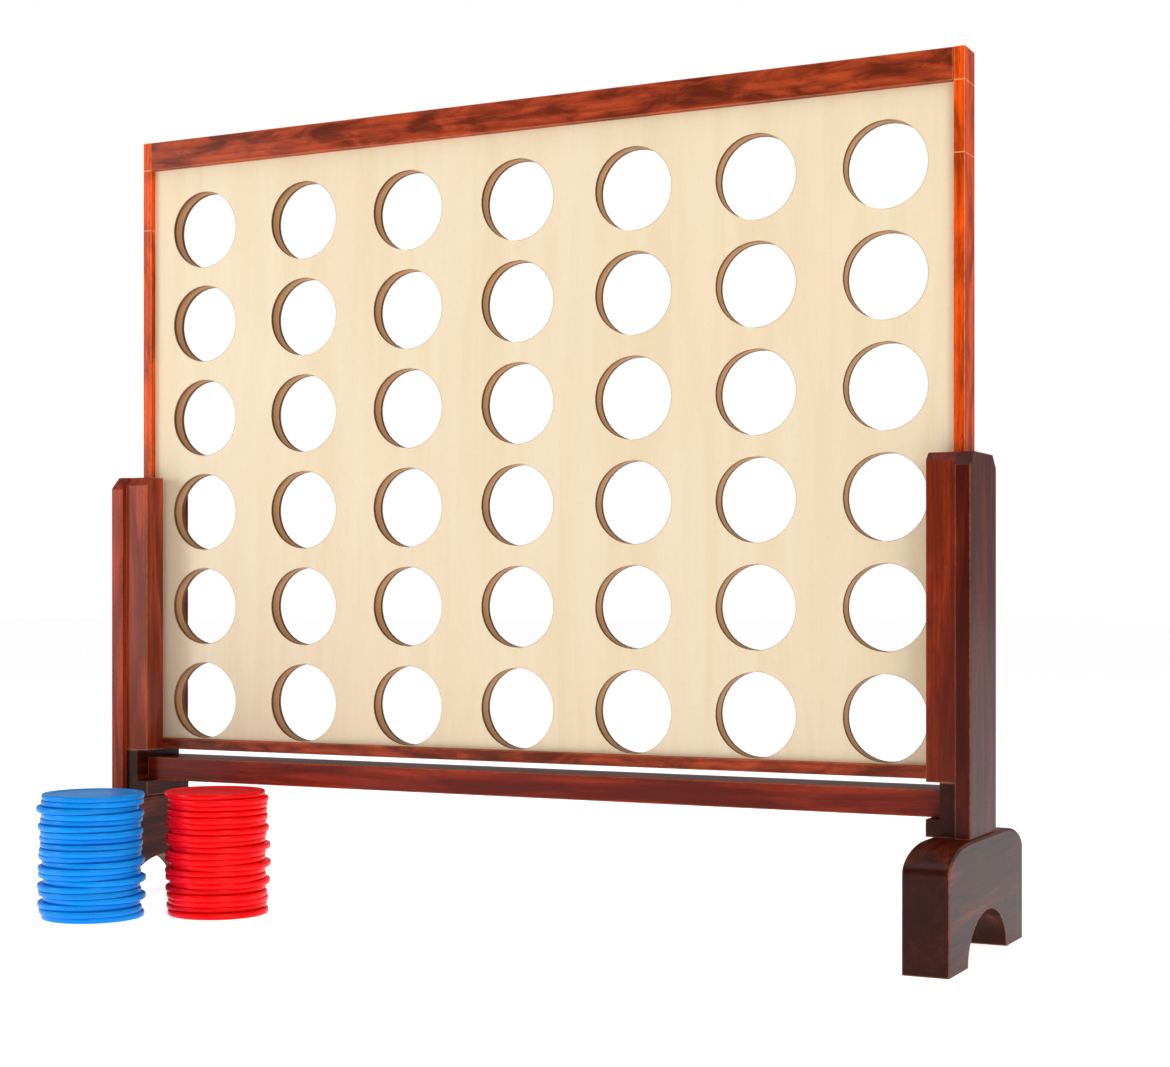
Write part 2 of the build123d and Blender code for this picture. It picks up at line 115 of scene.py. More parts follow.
# ------------------------------------------------------------------ shader sums
class Wire:
    """One output of a shader node, which can be used in ordinary sums with numbers and other wires."""

    def __init__(self, finish, socket):
        self.finish = finish
        self.socket = socket

    def math(self, operation, *values):
        return self.finish.node("ShaderNodeMath", {"operation": operation}, dict(enumerate(values)))

    def __add__(self, other):
        return self.math("ADD", self, other)

    def __radd__(self, other):
        return self.math("ADD", other, self)

    def __sub__(self, other):
        return self.math("SUBTRACT", self, other)

    def __rsub__(self, other):
        return self.math("SUBTRACT", other, self)

    def __mul__(self, other):
        return self.math("MULTIPLY", self, other)

    def __truediv__(self, other):
        return self.math("DIVIDE", self, other)

    def __abs__(self):
        return self.math("ABSOLUTE", self)

    def sine(self):
        return self.math("SINE", self)

    def fraction(self):
        return self.math("FRACT", self)

    def whole(self):
        return self.math("FLOOR", self)

    def least(self, other):
        return self.math("MINIMUM", self, other)

    def most(self, other):
        return self.math("MAXIMUM", self, other)

    def power(self, other):
        return self.math("POWER", self, other)

    def between(self, low, high):
        """0 below low, 1 above high and a smooth rise in between; a fall if low is above high."""
        return self.finish.node(
            "ShaderNodeMapRange",
            {"interpolation_type": "SMOOTHSTEP"},
            {"Value": self, "From Min": low, "From Max": high},
        )


class Finish:
    """A material with one Principled shader, and the nodes that feed it."""

    def __init__(self, name):
        self.material = bpy.data.materials.new(name)
        self.material.use_nodes = True
        self.tree = self.material.node_tree
        self.shader = self.tree.nodes["Principled BSDF"]
        self.place = self.node("ShaderNodeTexCoord", {}, {}, "Object")
        self.x, self.y, self.z = self.split(self.place)
        self.normal = self.node("ShaderNodeTexCoord", {}, {}, "Normal")

    def node(self, kind, settings, values, output=0):
        """A node of that type: its settings, then what its sockets hold or are fed by, and one output."""
        made = self.tree.nodes.new(kind)
        for name, value in settings.items():
            setattr(made, name, value)
        for name, value in values.items():
            self.feed(made.inputs[name], value)
        return Wire(self, made.outputs[output])

    def feed(self, socket, value):
        if isinstance(value, Wire):
            self.tree.links.new(value.socket, socket)
        elif socket.type == "RGBA":
            socket.default_value = (*value[:3], 1)
        else:
            socket.default_value = value

    def split(self, vector):
        made = self.tree.nodes.new("ShaderNodeSeparateXYZ")
        self.feed(made.inputs[0], vector)
        return [Wire(self, output) for output in made.outputs]

    def vector(self, x, y, z):
        return self.node("ShaderNodeCombineXYZ", {}, {0: x, 1: y, 2: z})

    def noise(self, vector, scale=1.0, detail=2.0, roughness=0.5, distortion=0.0):
        """Smooth noise from 0 to 1 that lies around 0.5."""
        values = {
            "Vector": vector,
            "Scale": scale,
            "Detail": detail,
            "Roughness": roughness,
            "Distortion": distortion,
        }
        return self.node("ShaderNodeTexNoise", {}, values)

    def mix(self, share, first, second):
        """Colour first where share is 0, and second where it is 1."""
        return self.node("ShaderNodeMix", {"data_type": "RGBA"}, {0: share, 6: first, 7: second}, 2)

    def shade(self, colour, amount):
        """A colour made lighter or darker by a number that varies over the surface."""
        return self.node("ShaderNodeVectorMath", {"operation": "SCALE"}, {"Vector": colour, "Scale": amount})

    def bump(self, height, depth):
        """Relief: height, which varies by about 1, times a depth in metres."""
        self.set(Normal=self.node("ShaderNodeBump", {}, {"Height": height, "Distance": depth}))

    def set(self, **values):
        """Feeds the shader's sockets; an underscore in a name stands for a space."""
        for name, value in values.items():
            self.feed(self.shader.inputs[name.replace("_", " ")], value)

    def dress(self, piece):
        """Puts this material in every slot of a piece."""
        if not piece.material_slots:
            piece.data.materials.append(self.material)
        for slot in piece.material_slots:
            slot.material = self.material


def edge_distance(first, second, third):
    """Distance to the nearest edge: the middle one of the distances to the nearest face along three axes."""
    lowest = first.least(second).least(third)
    highest = first.most(second).most(third)
    return first + second + third - lowest - highest


def box_distances(finish, node):
    """Distances to the nearer face of a node's box, along X, Y and Z."""
    low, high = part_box(node)
    distances = []
    for axis, place in enumerate((finish.x, finish.y, finish.z)):
        distances.append((place - low[axis]).least(high[axis] - place))
    return distances


def foot_distances(finish, node):
    """Distances to a foot's sides, to its outline and to the ground.

    With q and w the shares of a shoulder's length and drop, the shoulder lies where sqrt(q^2 + w^2) is 1,
    and the arch lies where the same sum of shares of its half width and height is 1.
    """
    low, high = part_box(node)
    middle = (low.y + high.y) / 2
    half_depth = (high.y - low.y) / 2
    away = abs(finish.y - middle)
    q = (away - (half_depth - SHOULDER_LENGTH)).most(0) / SHOULDER_LENGTH
    w = (finish.z - (high.z - SHOULDER_DROP)).most(0) / SHOULDER_DROP
    shoulder = (1 - (q * q + w * w).power(0.5)) * SHOULDER_DROP
    a = away / ARCH_HALF_WIDTH
    b = finish.z / ARCH_HEIGHT
    arch = ((a * a + b * b).power(0.5) - 1) * ARCH_HEIGHT
    side = (finish.x - low.x).least(high.x - finish.x)
    return side, shoulder.least(arch), finish.z


# ------------------------------------------------------------------ timber
def timber_grain(finish, node, along, seed, settings, mottle=0.0):
    """Pine as a solid: growth rings round a pith beside the piece, and fibres and blotches along the grain.

    The rings are the fraction of (distance from the pith + a slow waver) / ring spacing. along is the axis of
    the grain, and seed gives each piece a grain of its own.
    """
    low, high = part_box(node)
    middle = (low + high) / 2
    places = [finish.x, finish.y, finish.z]
    across = [axis for axis in range(3) if axis != along]
    run = places[along] + seed * 0.37
    pith_side = 1 if seed % 2 else -1
    u = places[across[0]] - (middle[across[0]] + pith_side * settings.pith_distance)
    v = places[across[1]] - (middle[across[1]] + settings.pith_distance * (0.35 + 0.08 * (seed % 5)))
    waver = finish.noise(finish.vector(run * 3.1, u * 14, v * 14), detail=2.0) - 0.5
    reach = (u * u + v * v).power(0.5) + waver * settings.ring_waver
    rings = (reach / settings.ring_spacing).fraction()
    late_wood = rings.between(0.35, 0.92) * rings.between(1.0, 0.94)
    fibres = finish.noise(finish.vector(run * 22, u * 900, v * 900), detail=3.0, roughness=0.6)
    patches = finish.vector(run * (4.5 + 14 * mottle), u * 48, v * 48)
    blotches = finish.noise(patches, detail=4.0, roughness=0.62, distortion=0.6)
    flecks = finish.noise(finish.vector(run * 75, u * 620, v * 620), detail=1.0).between(0.66, 0.74)
    return late_wood, fibres, blotches, flecks


def end_grain(finish, along):
    """1 on the faces that cut across the grain, 0 on the others."""
    return abs(finish.split(finish.normal)[along]).between(0.6, 0.9)


def stained_pine(
    node, along, seed, settings, stain, soaked, distances=box_distances, joints=(), mottle=0.0, wear_and_highlight=0.0
):
    """Varnished, stained pine.

    joints are places along the grain where two lengths are finger-jointed, mottle is how patchily the stain
    took, and the last argument is added to the edges' share of lightening, partly bare timber where the stain
    has gone and partly a painted highlight.
    """
    finish = Finish("stained_pine_" + node)
    late_wood, fibres, blotches, flecks = timber_grain(finish, node, along, seed, settings, mottle)
    dark = finish.shade(stain, 0.42 - 0.18 * mottle)
    glow = finish.mix(0.30, stain, settings.glow[:])
    colour = finish.mix(blotches.between(0.34, 0.64), dark, stain)
    colour = finish.mix(blotches.between(0.52, 0.78) * 0.55, colour, glow)
    colour = finish.mix(late_wood * settings.ring_strength, colour, dark)
    colour = finish.shade(colour, 0.72 + fibres * 0.56)
    colour = finish.mix(flecks * 0.55, colour, finish.shade(dark, 0.5))
    place = (finish.x, finish.y, finish.z)[along]
    for joint in joints:
        line = abs(place - joint).between(0.0011, 0.0004)
        colour = finish.mix(line * 0.8, colour, settings.rubbed_edge_and_highlight[:])
    colour = finish.mix(end_grain(finish, along) * 0.75, colour, finish.shade(soaked, 0.6 + fibres * 0.8))
    # The edges are lightened: partly bare timber where the stain has gone, partly a painted highlight on the
    # rounded edges.
    uneven = finish.noise(finish.place, scale=160, detail=3.0) * 0.0016
    edge = edge_distance(*distances(finish, node))
    rubbed_and_highlight = (edge + uneven).between(0.0026, 0.0011)
    worn_and_highlight = finish.mix(0.45, settings.rubbed_edge_and_highlight[:], stain)
    colour = finish.mix(rubbed_and_highlight * (settings.edge_wear_and_highlight + wear_and_highlight), colour, worn_and_highlight)
    scuffs = finish.noise(finish.place, scale=38, detail=5.0, roughness=0.7)
    finish.set(
        Base_Color=colour,
        Roughness=0.34 + fibres * 0.16 + rubbed_and_highlight * 0.12 + scuffs.between(0.55, 0.8) * 0.10,
        Coat_Weight=0.08 + scuffs * 0.12,
        Coat_Roughness=settings.varnish_roughness,
        Specular_IOR_Level=settings.varnish_gloss,
        IOR=1.46,
    )
    ripple = (place * (2 * math.pi / settings.planer_pitch)).sine() * blotches.between(0.45, 0.7)
    height = fibres * 0.55 + late_wood * 0.35 + ripple * 0.22 + scuffs * 0.3
    finish.bump(height, settings.grain_depth)
    finish.dress(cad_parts[node])


def plain_pine(node, along, seed, settings):
    """Bare planed pine, for what stands between the two panels."""
    finish = Finish("plain_pine_" + node)
    late_wood, fibres, blotches, flecks = timber_grain(finish, node, along, seed, settings)
    pale = settings.bare_pine[:]
    colour = finish.mix(late_wood * 0.7, pale, finish.shade(pale, 0.55))
    colour = finish.mix(blotches.between(0.4, 0.75) * 0.4, colour, finish.shade(pale, 0.8))
    colour = finish.shade(colour, 0.8 + fibres * 0.4)
    colour = finish.mix(end_grain(finish, along) * 0.5, colour, finish.shade(pale, 0.45))
    edge = edge_distance(*box_distances(finish, node))
    colour = finish.mix(edge.between(0.0016, 0.0004) * 0.35, colour, finish.shade(pale, 0.6))
    finish.set(Base_Color=colour, Roughness=0.5 + fibres * 0.2, Coat_Weight=0.15)
    finish.bump(fibres * 0.6 + late_wood * 0.4 - flecks * 0.3, settings.grain_depth)
    finish.dress(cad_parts[node])


# ------------------------------------------------------------------ plywood
def lacquered_plywood(node, seed, inward, settings):
    """Three-ply sheet with a soft upright grain, and holes whose walls were darkened by the cutter.

    A point's hole is the nearest of the grid: its column is the whole part of (x / pitch + 4), kept within
    the seven columns, and its row is counted down from the top row in the same way. inward is 1 if the side
    that faces the discs looks along +Y and -1 if it looks along -Y; that side is left bare, and its colour is
    also darkened as painted shade inside the slot between the panels.
    """
    finish = Finish("lacquered_plywood_" + node)
    low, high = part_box(node)
    thickness = high.y - low.y
    top_row = high.z - TOP_HOLE_DROP
    column = (finish.x / COLUMN_PITCH + COLUMNS / 2 + 0.5).whole().most(1).least(COLUMNS)
    row = ((top_row - finish.z) / ROW_PITCH + 0.5).whole().most(0).least(ROWS - 1)
    sideways = finish.x - (column - (COLUMNS + 1) / 2) * COLUMN_PITCH
    upwards = finish.z - (top_row - row * ROW_PITCH)
    from_hole = (sideways * sideways + upwards * upwards).power(0.5) - HOLE_RADIUS
    facing = finish.split(finish.normal)[1]
    face = abs(facing).between(0.5, 0.9)
    inner = (facing * inward).between(0.5, 0.9)

    run = finish.z + seed * 0.61
    drawn_out = finish.vector(finish.x * 26, finish.y, run * 2.2)
    figure = finish.noise(drawn_out, detail=4.0, roughness=0.55, distortion=0.9)
    waves = ((finish.x * 170 + figure * 16 + (run * 5).sine() * 1.5).sine() + 1) * 0.5
    fibres = finish.noise(finish.vector(finish.x * 820, finish.y, run * 26), detail=3.0, roughness=0.6)
    clouds = finish.noise(finish.place, scale=3.4, detail=3.0)
    pores = finish.noise(finish.vector(finish.x * 1500, finish.y, run * 110), detail=0.0).between(0.70, 0.78)

    pale = settings.veneer[:]
    warm = settings.veneer_shade[:]
    colour = finish.mix(figure.between(0.3, 0.75) * 0.5, pale, warm)
    colour = finish.mix(waves * 0.09, colour, warm)
    colour = finish.mix(clouds.between(0.5, 0.75) * 0.22, colour, settings.veneer_blush[:])
    # Inner sides: the bare ply's tone, darkened as painted shade inside the slot between the panels.
    colour = finish.mix(inner * 0.8, colour, settings.bare_ply_and_painted_shade[:])
    colour = finish.shade(colour, 0.955 + fibres * 0.09)
    colour = finish.mix(pores * 0.22, colour, finish.shade(warm, 0.6))
    smoke = from_hole.between(0.0014, 0.0) * (0.25 + clouds * 0.4)
    colour = finish.mix(smoke, colour, settings.scorch_light[:])

    # The core ply is the middle 44 % of the thickness, and the glue lines lie at its two faces.
    depth = (finish.y - low.y) / thickness
    core = depth.between(0.26, 0.30) * depth.between(0.74, 0.70)
    glue = abs(abs(depth - 0.5) - 0.22).between(0.045, 0.015)
    charring = finish.noise(finish.vector(finish.x * 300, finish.y * 900, finish.z * 300), detail=3.0)
    wall = finish.mix(core, settings.scorch_light[:], settings.scorch_dark[:])
    wall = finish.mix(glue * 0.8, wall, finish.shade(settings.scorch_dark[:], 0.45))
    wall = finish.shade(wall, 0.6 + charring * 0.8)
    finish.set(
        Base_Color=finish.mix(face, wall, colour),
        Roughness=0.5 + fibres * 0.12 - face * 0.08,
        Coat_Weight=face * 0.3,
        Coat_Roughness=0.34,
        Specular_IOR_Level=0.3,
    )
    finish.bump(fibres * 0.5 + figure * 0.3 - pores * 0.5, settings.veneer_relief)
    finish.dress(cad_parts[node])


# ------------------------------------------------------------------ fixings
def beech_dowel(node):
    """Beech dowels: short dark flecks and fine ridges, drawn out along X."""
    finish = Finish("beech_dowel_" + node)
    fibres = finish.noise(finish.vector(finish.x * 40, finish.y * 1200, finish.z * 1200), detail=3.0)
    flecks = finish.noise(finish.vector(finish.x * 260, finish.y * 1500, finish.z * 1500), detail=1.0)
    colour = finish.mix(fibres, paint(226, 190, 142), paint(196, 152, 104))
    colour = finish.mix(flecks.between(0.62, 0.7) * 0.7, colour, paint(140, 92, 58))
    finish.set(Base_Color=colour, Roughness=0.55 + fibres * 0.2)
    finish.bump(fibres, 0.00015)
    finish.dress(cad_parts[node])


def zinc_steel(node):
    """Zinc-plated steel with a faint spangle, fine turning marks and duller patches."""
    finish = Finish("zinc_steel_" + node)
    spangle = finish.node("ShaderNodeTexVoronoi", {}, {"Vector": finish.place, "Scale": 420.0}, "Distance")
    cloudy = finish.noise(finish.place, scale=260, detail=3.0)
    marks = finish.noise(finish.vector(finish.x * 400, finish.y * 400, finish.z * 3200), detail=2.0)
    colour = finish.mix(cloudy.between(0.4, 0.7), paint(196, 199, 204), paint(164, 168, 176))
    colour = finish.mix(spangle * 0.3, colour, paint(214, 212, 196))
    finish.set(Base_Color=colour, Metallic=1.0, Roughness=0.28 + cloudy * 0.2 + marks * 0.08)
    finish.bump(marks * 0.6 + spangle * 0.4, 0.00004)
    finish.dress(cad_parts[node])


# ------------------------------------------------------------------ discs
def wobble(numbers, phase):
    """Sideways offset of each disc of a stack: one wave along X and a longer one along Y."""
    along_x = DISC_WOBBLE * np.sin(WOBBLE_TURNS[0] * numbers + phase)
    along_y = DISC_WOBBLE * np.cos(WOBBLE_TURNS[1] * numbers + 2 * phase)
    return np.stack([along_x, along_y], axis=1)


def disc_profile(radius, thickness, settings):
    """Half of a disc's section, from its middle out to its edge, as radii and heights above mid thickness.

    Dish: flat at half thickness - recess, with a bead of height h * (1 + cos(pi * d)) / 2 where d runs from
    -1 to 1 across it.
    Rim: a smooth step of 3s^2 - 2s^3 up to the crown. Edge: a superellipse whose two shares to the power
    2 / roundness add up to 1.
    """
    half = thickness / 2
    rim_start = radius - settings.rim_width
    step = settings.recess * STEP_LENGTH
    dish_radii = np.linspace(HUB_RADIUS, rim_start - step, DISH_RINGS)
    bead_middle = rim_start * settings.bead_place
    d = np.clip((dish_radii - bead_middle) / (settings.bead_width / 2), -1, 1)
    dish_heights = half - settings.recess + settings.bead_height * (1 + np.cos(np.pi * d)) / 2
    s = np.linspace(0, 1, STEP_RINGS)[1:]
    step_radii = rim_start - step + s * step
    step_heights = half - settings.recess + settings.recess * (3 * s ** 2 - 2 * s ** 3)
    edge_length = settings.edge_length
    crown_radii = np.linspace(rim_start, radius - edge_length, CROWN_RINGS)[1:-1]
    crown_heights = np.full(crown_radii.shape, half)
    turn = np.linspace(np.pi / 2, 0, EDGE_RINGS)
    edge_radii = radius - edge_length + edge_length * np.cos(turn) ** settings.roundness
    edge_heights = half * np.sin(turn) ** settings.roundness
    radii = np.concatenate([dish_radii, step_radii, crown_radii, edge_radii])
    heights = np.concatenate([dish_heights, step_heights, crown_heights, edge_heights])
    return radii, heights


def disc_surface(radius, thickness, settings):
    """Vertices and faces of one disc: its half section, mirrored below, turned round the upright axis.

    A vertex at turn t and section point (r, h) is (r cos t, r sin t, h); the two poles are single vertices.
    """
    radii, heights = disc_profile(radius, thickness, settings)
    radii = np.concatenate([radii, radii[-2::-1]])
    heights = np.concatenate([heights, -heights[-2::-1]])
    turns = np.arange(settings.segments) * 2 * np.pi / settings.segments
    rings = np.stack(
        [
            np.outer(radii, np.cos(turns)),
            np.outer(radii, np.sin(turns)),
            np.outer(heights, np.ones_like(turns)),
        ],
        axis=2,
    ).reshape(-1, 3)
    poles = np.array([[0, 0, heights[0]], [0, 0, heights[-1]]])
    ring = np.arange(len(radii) - 1)[:, None] * settings.segments
    here = np.arange(settings.segments)[None, :]
    there = (here + 1) % settings.segments
    quads = np.stack(
        [ring + here, ring + settings.segments + here, ring + settings.segments + there, ring + there], axis=2
    ).reshape(-1, 4)
    top_pole = len(rings)
    last = (len(radii) - 1) * settings.segments
    top_fan = np.stack([np.full(settings.segments, top_pole), here[0], there[0]], axis=1)
    low_fan = np.stack([np.full(settings.segments, top_pole + 1), last + there[0], last + here[0]], axis=1)
    return np.concatenate([rings, poles]), quads, np.concatenate([top_fan, low_fan])


def disc_piece(name, node, body, centres, radius, thickness, settings):
    """One object that holds a disc at each centre and stands for a CAD node."""
    points, quads, fans = disc_surface(radius, thickness, settings)
    all_points = (points[None, :, :] + centres[:, None, :]).reshape(-1, 3)
    shifts = np.arange(len(centres))[:, None, None] * len(points)
    all_quads = (quads[None, :, :] + shifts).reshape(-1, 4)
    all_fans = (fans[None, :, :] + shifts).reshape(-1, 3)
    mesh = bpy.data.meshes.new(name)
    mesh.from_pydata(all_points.tolist(), [], all_quads.tolist() + all_fans.tolist())
    mesh.polygons.foreach_set("use_smooth", np.ones(len(mesh.polygons), bool))
    mesh.update()
    piece = bpy.data.objects.new(name, mesh)
    bpy.context.scene.collection.objects.link(piece)
    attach(piece, body)
    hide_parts(node)
    return piece


def moulded_plastic(colour_name, colour, shine):
    """Moulded plastic: a slightly different batch for each disc, fine pitting, and scuffs where discs rub."""
    finish = Finish(colour_name + "_plastic")
    number = (finish.z / DISC_PITCH).whole()
    batch = finish.node("ShaderNodeTexWhiteNoise", {"noise_dimensions": "1D"}, {"W": number}, "Value")
    clouds = finish.noise(finish.place, scale=46, detail=4.0, roughness=0.6)
    long_marks = finish.vector(finish.x * 90, finish.y * 700, finish.z * 700)
    scratches = finish.noise(long_marks, detail=3.0, distortion=1.5)
    pits = finish.noise(finish.place, scale=2600, detail=1.0)
    height_share = (finish.z / DISC_PITCH).fraction()
    seam = abs(height_share - SEAM_SHARE).between(0.030, 0.010)
    tone = finish.shade(colour, 0.90 + batch * 0.16 + clouds * 0.06)
    tone = finish.mix(scratches.between(0.62, 0.72) * 0.10, tone, shine)
    upright = abs(finish.split(finish.normal)[2])
    flat_scuffs = upright.between(0.7, 0.95) * clouds.between(0.5, 0.72)
    tone = finish.mix(flat_scuffs * 0.16, tone, shine)
    finish.set(
        Base_Color=tone,
        Roughness=0.26 + pits * 0.05 + scratches.between(0.6, 0.75) * 0.12 + flat_scuffs * 0.12,
        IOR=1.5,
        Specular_IOR_Level=0.18,
    )
    finish.bump(pits * 0.12 + clouds * 0.5 + seam * upright.between(0.4, 0.1) * 0.4, 0.00010)
    return finish


# ------------------------------------------------------------------ settings
def colour_setting(name, description, default):
    return bpy.props.FloatVectorProperty(
        name=name, description=description, default=default, size=3, min=0, max=1, subtype="COLOR"
    )


def length_setting(name, description, default):
    return bpy.props.FloatProperty(
        name=name,
        description=description,
        default=default,
        min=0,
        precision=5,
        subtype="DISTANCE",
        unit="LENGTH",
    )


def power_setting(name, description, default):
    return bpy.props.FloatProperty(
        name=name, description=description, default=default, min=0, subtype="POWER", unit="POWER"
    )


def share_setting(name, description, default):
    return bpy.props.FloatProperty(
        name=name, description=description, default=default, min=0, max=1, subtype="FACTOR"
    )


class TimberSettings(bpy.types.PropertyGroup):
    """Pine of the stand and of the board's frame."""

    frame_stain: colour_setting("Frame stain", "Stain of the stiles and rails", paint(240, 82, 4))
    rail_stain: colour_setting("Rail stain", "Stain of the rails on the board", paint(172, 66, 34))
    # The left guides' stain is lightened as painted light and the right guides' darkened as painted shade.
    left_guide_stain: colour_setting("Left guide stain", "Stain of the left guides", paint(170, 66, 36))
    right_guide_stain: colour_setting("Right guide stain", "Stain of the right guides", paint(138, 44, 15))
    # The left post's stain is lightened as painted light and the right post's darkened as painted shade.
    left_post_stain: colour_setting("Left post stain", "Stain of the left post", paint(176, 62, 34))
    right_post_stain: colour_setting("Right post stain", "Stain of the right post", paint(92, 20, 7))
    shelf_stain: colour_setting("Shelf stain", "Stain of the shelf", paint(140, 40, 22))
    foot_stain: colour_setting("Foot stain", "Stain of the feet and blocks", paint(74, 20, 9))
    soaked_stain: colour_setting("Soaked stain", "Stain where end grain drank it", paint(46, 11, 4))
    glow: colour_setting("Glow", "Orange of the thinnest stain", paint(226, 104, 34))
    # This pale edge colour stands partly for timber bared at the edges and partly for a painted highlight.
    rubbed_edge_and_highlight: colour_setting("Rubbed edge", "Timber where an edge is rubbed through", paint(236, 150, 92))
    bare_pine: colour_setting("Bare pine", "Unstained pine between the panels", paint(228, 194, 144))
    # How much the edges are lightened, partly as bared timber and partly as a painted highlight.
    edge_wear_and_highlight: share_setting("Edge wear", "How far the edges are rubbed through", 0.42)
    ring_strength: share_setting("Ring strength", "How dark the late wood is", 0.38)
    varnish_roughness: share_setting("Varnish roughness", "Roughness of the clear coat", 0.13)
    varnish_gloss: share_setting("Varnish gloss", "How strongly the stained surface reflects", 0.09)
    ring_spacing: length_setting("Ring spacing", "Width of one growth ring", 0.0042)
    ring_waver: length_setting("Ring waver", "How far the rings wander", 0.009)
    pith_distance: length_setting("Pith distance", "From a piece's middle to the pith", 0.055)
    planer_pitch: length_setting("Planer pitch", "Spacing of the planer's ripples", 0.0036)
    grain_depth: length_setting("Grain depth", "Relief of the grain", 0.00022)


class PanelSettings(bpy.types.PropertyGroup):
    """Plywood of the two holed panels."""

    veneer: colour_setting("Veneer", "Palest tone of the veneer", paint(235, 217, 186))
    veneer_shade: colour_setting("Veneer shade", "Deeper tone of the veneer", paint(225, 199, 158))
    veneer_blush: colour_setting("Veneer blush", "Warm clouds in the veneer", paint(238, 206, 172))
    # The bare ply colour is darkened as painted shade inside the slot between the panels.
    bare_ply_and_painted_shade: colour_setting("Bare ply", "Inner sides of the panels, left bare", paint(224, 174, 120))
    scorch_light: colour_setting("Light scorch", "Outer plies in a hole's wall", paint(118, 76, 36))
    scorch_dark: colour_setting("Dark scorch", "Core ply in a hole's wall", paint(78, 46, 20))
    veneer_relief: length_setting("Veneer relief", "Relief of the veneer", 0.00008)


class DiscSettings(bpy.types.PropertyGroup):
    """Shape and colour of the discs."""

    blue: colour_setting("Blue", "Colour of the first player's discs", paint(0, 146, 238))
    red: colour_setting("Red", "Colour of the second player's discs", paint(254, 0, 12))
    blue_shine: colour_setting("Blue scuffs", "Scuffed blue plastic", paint(70, 170, 250))
    red_shine: colour_setting("Red scuffs", "Scuffed red plastic", paint(255, 84, 84))
    rim_width: length_setting("Rim width", "Raised rim round the dish", 0.009)
    recess: length_setting("Recess", "Depth of the dish", 0.0011)
    edge_length: length_setting("Edge length", "How far in the rounded edge reaches", 0.0020)
    bead_height: length_setting("Bead height", "Height of the ring in the dish", 0.0005)
    bead_width: length_setting("Bead width", "Width of the ring in the dish", 0.005)
    bead_place: share_setting("Bead place", "Radius of the ring, as a share of the dish", 0.62)
    roundness: bpy.props.FloatProperty(
        name="Roundness",
        description="Power of the edge's superellipse; 1 is an ellipse",
        default=0.8,
        min=0.3,
        max=2,
    )
    segments: bpy.props.IntProperty(
        name="Segments", description="Faces round a disc", default=96, min=24, max=256
    )


class StageSettings(bpy.types.PropertyGroup):
    """Camera, lights and floor."""

    camera_x: length_setting("Camera to the right", "Camera's distance to the right", 1.2115)
    camera_forward: length_setting("Camera in front", "Camera's distance to the front panel", 2.2639)
    camera_height: length_setting("Camera height", "Camera's height above the ground", 0.3994)
    camera_turn: bpy.props.FloatProperty(
        name="Camera turn", description="Turn to the left", default=0.4586, subtype="ANGLE", unit="ROTATION"
    )
    camera_lens: bpy.props.FloatProperty(
        name="Lens",
        description="Focal length",
        default=63.81,
        min=1,
        subtype="DISTANCE_CAMERA",
        unit="CAMERA",
    )
    frame_rise: share_setting("Frame rise", "Upward shift of the level camera's frame", 0.0546)
    floor_colour: colour_setting("Floor", "Colour of the floor", paint(246, 246, 246))
    floor_glow: share_setting("Floor glow", "Light that the floor gives off", 0.75)
    left_power: power_setting("Left light", "Power of the left softbox", 36)
    right_power: power_setting("Right light", "Power of the right softbox", 46)
    top_power: power_setting("Top light", "Power of the overhead softbox", 38)


